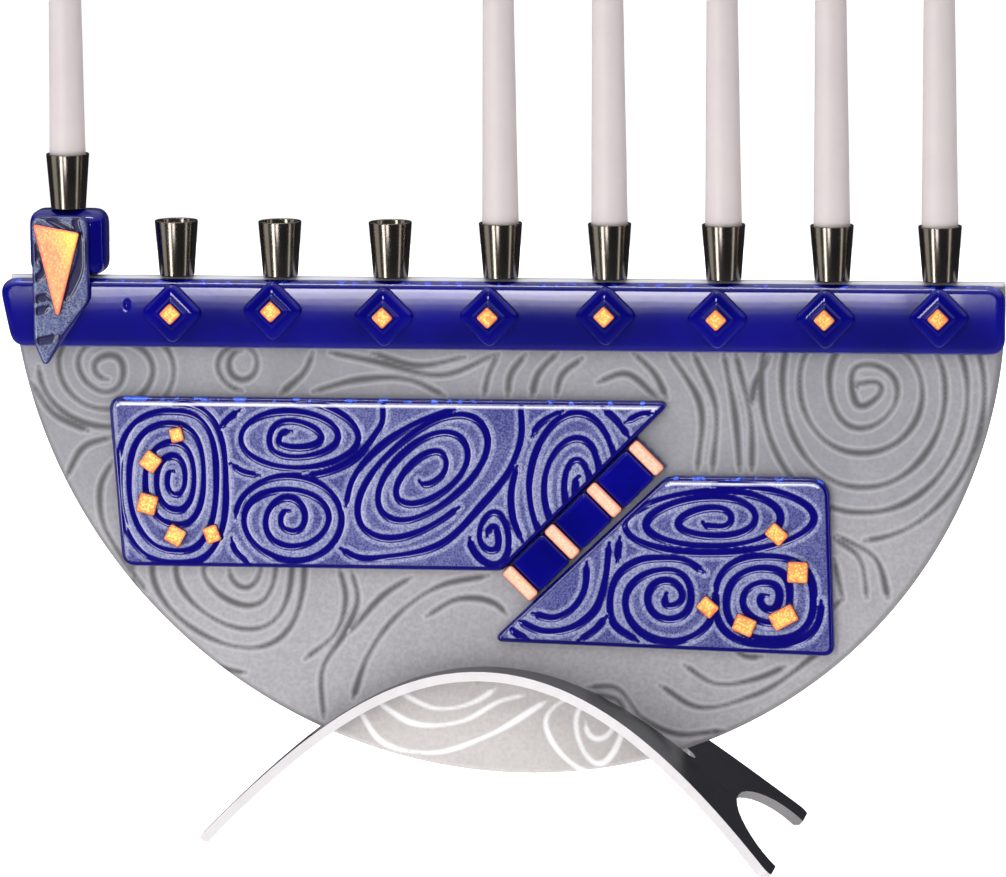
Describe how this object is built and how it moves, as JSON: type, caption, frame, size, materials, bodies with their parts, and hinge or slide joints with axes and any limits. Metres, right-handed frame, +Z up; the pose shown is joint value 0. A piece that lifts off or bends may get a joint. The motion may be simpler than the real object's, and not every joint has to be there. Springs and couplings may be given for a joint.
{
  "type": "menorah",
  "caption": "Fused-glass Hanukkah menorah: a half-disc plate with a blue bar and metal candle cups, slotted upright into a bent aluminium arch stand.",
  "frame": {"origin": "on the table, under the middle of the object", "axes": "+X along the row of cups towards the forked leg, +Z up, glass faces -Y"},
  "size_m": [0.334, 0.1102, 0.3711],
  "materials": {
    "satin_aluminium": "satin, brushed along the strip, bright sanded edges",
    "silver_glass": "pearly silver-grey fused glass with raised swirls",
    "blue_glass": "deep cobalt glass, fire polished, glossy",
    "patterned_glass": "steel-blue iridescent glass with raised cobalt swirls",
    "gold_glass": "gold-orange dichroic glass, crackled and sparkling",
    "copper_glass": "salmon-copper dichroic glass, streaked",
    "nickel": "polished nickel, slightly warm",
    "wax": "smooth white candle wax"
  },
  "bodies": {
    "stand": {"stand_arch": "satin_aluminium"},
    "glass": {"glass_plate": "silver_glass", "top_bar": "blue_glass", "shamash_block": "blue_glass", "shamash_overlay": "patterned_glass", "shamash_triangle": "gold_glass", "diamond_1": "blue_glass", "diamond_gold_1": "gold_glass", "diamond_2": "blue_glass", "diamond_gold_2": "gold_glass", "diamond_3": "blue_glass", "diamond_gold_3": "gold_glass", "diamond_4": "blue_glass", "diamond_gold_4": "gold_glass", "diamond_5": "blue_glass", "diamond_gold_5": "gold_glass", "diamond_6": "blue_glass", "diamond_gold_6": "gold_glass", "diamond_7": "blue_glass", "diamond_gold_7": "gold_glass", "diamond_8": "blue_glass", "diamond_gold_8": "gold_glass", "panel_left": "patterned_glass", "panel_right": "patterned_glass", "panel_left_gold_1": "gold_glass", "panel_left_gold_2": "gold_glass", "panel_left_gold_3": "gold_glass", "panel_left_gold_4": "gold_glass", "panel_left_gold_5": "gold_glass", "panel_right_gold_1": "gold_glass", "panel_right_gold_2": "gold_glass", "panel_right_gold_3": "gold_glass", "panel_right_gold_4": "gold_glass", "panel_right_gold_5": "gold_glass", "diagonal_blue_1": "blue_glass", "diagonal_blue_2": "blue_glass", "diagonal_blue_3": "blue_glass", "diagonal_copper_1": "copper_glass", "diagonal_copper_2": "copper_glass", "diagonal_copper_3": "copper_glass", "diagonal_copper_4": "copper_glass", "cup_shamash": "nickel", "cup_1": "nickel", "cup_2": "nickel", "cup_3": "nickel", "cup_4": "nickel", "cup_5": "nickel", "cup_6": "nickel", "cup_7": "nickel", "cup_8": "nickel"},
    "candle_shamash": {"candle_shamash": "wax"},
    "candle_4": {"candle_4": "wax"},
    "candle_5": {"candle_5": "wax"},
    "candle_6": {"candle_6": "wax"},
    "candle_7": {"candle_7": "wax"},
    "candle_8": {"candle_8": "wax"}
  },
  "joints": [
    {"name": "glass_lift", "type": "slide", "parent": "stand", "child": "glass", "axis": [0, 0, 1], "range_m": [0, 0.06]},
    {"name": "candle_shamash_lift", "type": "slide", "parent": "glass", "child": "candle_shamash", "axis": [0, 0, 1], "range_m": [0, 0.03]},
    {"name": "candle_4_lift", "type": "slide", "parent": "glass", "child": "candle_4", "axis": [0, 0, 1], "range_m": [0, 0.03]},
    {"name": "candle_5_lift", "type": "slide", "parent": "glass", "child": "candle_5", "axis": [0, 0, 1], "range_m": [0, 0.03]},
    {"name": "candle_6_lift", "type": "slide", "parent": "glass", "child": "candle_6", "axis": [0, 0, 1], "range_m": [0, 0.03]},
    {"name": "candle_7_lift", "type": "slide", "parent": "glass", "child": "candle_7", "axis": [0, 0, 1], "range_m": [0, 0.03]},
    {"name": "candle_8_lift", "type": "slide", "parent": "glass", "child": "candle_8", "axis": [0, 0, 1], "range_m": [0, 0.03]}
  ]
}
